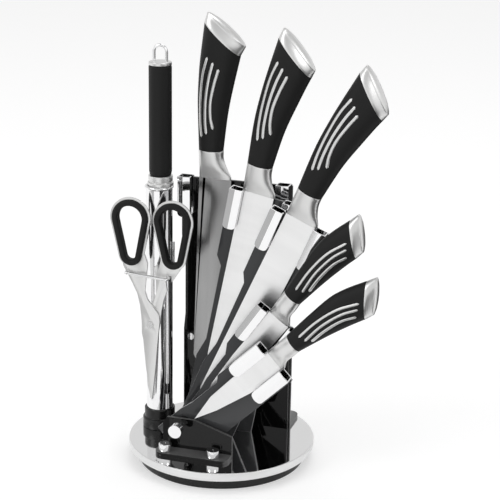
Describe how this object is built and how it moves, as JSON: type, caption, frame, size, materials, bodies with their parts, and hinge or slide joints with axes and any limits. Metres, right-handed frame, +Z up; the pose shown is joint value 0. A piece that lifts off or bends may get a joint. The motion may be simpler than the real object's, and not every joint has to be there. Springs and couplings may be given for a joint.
{
  "type": "rotating knife stand",
  "caption": "Round turntable stand with tilted holder leaves set like a fan, kitchen knives, a sharpening steel in a tube and scissors on a hook",
  "frame": {"origin": "centre of the flat underside of the base, on the table", "axes": "+Z up along the turntable axis, +X to the right as the fan leans, front of the stand faces -Y"},
  "size_m": [0.2539, 0.17, 0.4042],
  "materials": {
    "chrome": "polished chrome",
    "mirror_steel": "mirror polished",
    "black_acrylic": "glossy",
    "grey_acrylic": "glossy dark grey",
    "plain_steel": "turned",
    "satin_steel": "satin",
    "blade_steel": "fine ground",
    "black_plastic": "semi-matte",
    "glide_plastic": "matte",
    "rubber": "matte",
    "soft_grip": "matte soft coating"
  },
  "bodies": {
    "root": {"base_shell": "black_plastic", "base_pads": "rubber", "base_plug": "rubber", "glide_ring": "glide_plastic"},
    "turntable": {"spindle": "plain_steel", "retaining_clip": "plain_steel", "deck": "mirror_steel", "rear_bracket": "black_acrylic", "front_bracket": "black_acrylic", "leaf_1": "black_acrylic", "leaf_2": "grey_acrylic", "leaf_3": "grey_acrylic", "leaf_4": "grey_acrylic", "leaf_5": "grey_acrylic", "leaf_1_guides": "chrome", "leaf_2_guides": "chrome", "leaf_3_guides": "chrome", "leaf_4_guides": "chrome", "leaf_5_guides": "chrome", "panel_screws": "chrome", "deck_studs": "chrome", "fan_bolt": "plain_steel", "bolt_caps": "chrome", "leaf_spacers": "black_plastic", "tube_socket": "black_plastic", "steel_tube": "chrome", "scissor_hook": "chrome"},
    "steel": {"steel_rod": "plain_steel", "steel_bolster": "satin_steel", "steel_handle": "soft_grip", "steel_cap": "satin_steel", "steel_loop": "chrome"},
    "scissors": {"scissor_half_right": "satin_steel", "grip_right": "soft_grip", "scissor_rivet": "plain_steel"},
    "scissors_left": {"scissor_half_left": "satin_steel", "grip_left": "soft_grip"},
    "chef_knife": {"chef_blade": "blade_steel", "chef_bolster": "satin_steel", "chef_grip": "soft_grip", "chef_pommel": "satin_steel"},
    "carving_knife": {"carving_blade": "blade_steel", "carving_bolster": "satin_steel", "carving_grip": "soft_grip", "carving_pommel": "satin_steel"},
    "bread_knife": {"bread_blade": "blade_steel", "bread_bolster": "satin_steel", "bread_grip": "soft_grip", "bread_pommel": "satin_steel"},
    "utility_knife": {"utility_blade": "blade_steel", "utility_bolster": "satin_steel", "utility_grip": "soft_grip", "utility_pommel": "satin_steel"},
    "paring_knife": {"paring_blade": "blade_steel", "paring_bolster": "satin_steel", "paring_grip": "soft_grip", "paring_pommel": "satin_steel"}
  },
  "joints": [
    {"name": "turntable_spin", "type": "hinge", "parent": "root", "child": "turntable", "pos_m": [0, 0, 0], "axis": [0, 0, 1], "continuous": true},
    {"name": "steel_lift", "type": "slide", "parent": "turntable", "child": "steel", "axis": [0, 0, 1], "range_m": [0, 0.21]},
    {"name": "scissors_lift", "type": "slide", "parent": "turntable", "child": "scissors", "axis": [0, 0, 1], "range_m": [0, 0.13]},
    {"name": "scissors_open", "type": "hinge", "parent": "scissors", "child": "scissors_left", "pos_m": [-0.0631, -0.016, 0.125], "axis": [0, -1, 0], "range_deg": [0, 50]},
    {"name": "chef_lift", "type": "slide", "parent": "turntable", "child": "chef_knife", "axis": [0.0279, 0, 0.9996], "range_m": [0, 0.26]},
    {"name": "carving_lift", "type": "slide", "parent": "turntable", "child": "carving_knife", "axis": [0.1959, 0, 0.9806], "range_m": [0, 0.26]},
    {"name": "bread_lift", "type": "slide", "parent": "turntable", "child": "bread_knife", "axis": [0.4115, 0, 0.9114], "range_m": [0, 0.25]},
    {"name": "utility_lift", "type": "slide", "parent": "turntable", "child": "utility_knife", "axis": [0.6046, 0, 0.7965], "range_m": [0, 0.16]},
    {"name": "paring_lift", "type": "slide", "parent": "turntable", "child": "paring_knife", "axis": [0.7513, 0, 0.66], "range_m": [0, 0.135]}
  ]
}
